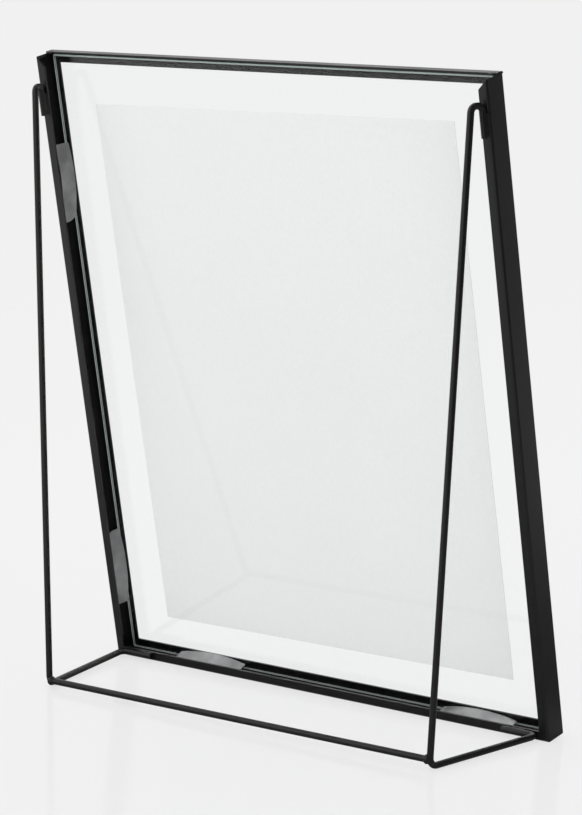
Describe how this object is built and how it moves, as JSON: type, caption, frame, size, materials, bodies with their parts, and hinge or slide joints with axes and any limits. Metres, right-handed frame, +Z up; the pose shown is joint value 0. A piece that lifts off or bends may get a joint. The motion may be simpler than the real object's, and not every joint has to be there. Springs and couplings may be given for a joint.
{
  "type": "floating photo frame",
  "caption": "Free-standing black metal frame that holds a print between clear panes with bowed spring strips and leans back on a welded wire stand.",
  "frame": {"origin": "middle of the base, on the floor, half way between the sides and between the front of the bottom rail and the back of the foot welds", "axes": "+Z up, the front of the frame faces -Y and leans back towards +Y, where the wire stand is; X runs along the width"},
  "size_m": [0.2536, 0.0802, 0.2958],
  "materials": {
    "powder_coat_black": "satin powder coat",
    "clear_glass": "clear, polished",
    "print_paper": "smooth",
    "spring_steel": "rolled"
  },
  "bodies": {
    "frame": {"left_rail": "powder_coat_black", "right_rail": "powder_coat_black", "bottom_rail": "powder_coat_black", "top_rail": "powder_coat_black", "corner_welds": "powder_coat_black", "left_stand_wire": "powder_coat_black", "right_stand_wire": "powder_coat_black", "cross_bar": "powder_coat_black", "foot_welds": "powder_coat_black", "hook_welds": "powder_coat_black", "front_leg_welds": "powder_coat_black", "front_pane": "clear_glass", "rear_pane": "clear_glass", "photo_print": "print_paper"},
    "spring_left_upper": {"spring_left_upper": "spring_steel"},
    "spring_left_lower": {"spring_left_lower": "spring_steel"},
    "spring_right_upper": {"spring_right_upper": "spring_steel"},
    "spring_right_lower": {"spring_right_lower": "spring_steel"},
    "spring_bottom_left": {"spring_bottom_left": "spring_steel"},
    "spring_bottom_right": {"spring_bottom_right": "spring_steel"}
  },
  "joints": [
    {"name": "spring_left_upper_pull_out", "type": "slide", "parent": "frame", "child": "spring_left_upper", "axis": [1, 0, 0], "range_m": [0, 0.009]},
    {"name": "spring_left_lower_pull_out", "type": "slide", "parent": "frame", "child": "spring_left_lower", "axis": [1, 0, 0], "range_m": [0, 0.009]},
    {"name": "spring_right_upper_pull_out", "type": "slide", "parent": "frame", "child": "spring_right_upper", "axis": [-1, 0, 0], "range_m": [0, 0.009]},
    {"name": "spring_right_lower_pull_out", "type": "slide", "parent": "frame", "child": "spring_right_lower", "axis": [-1, 0, 0], "range_m": [0, 0.009]},
    {"name": "spring_bottom_left_pull_out", "type": "slide", "parent": "frame", "child": "spring_bottom_left", "axis": [0, 0.1702, 0.9854], "range_m": [0, 0.009]},
    {"name": "spring_bottom_right_pull_out", "type": "slide", "parent": "frame", "child": "spring_bottom_right", "axis": [0, 0.1702, 0.9854], "range_m": [0, 0.009]}
  ]
}
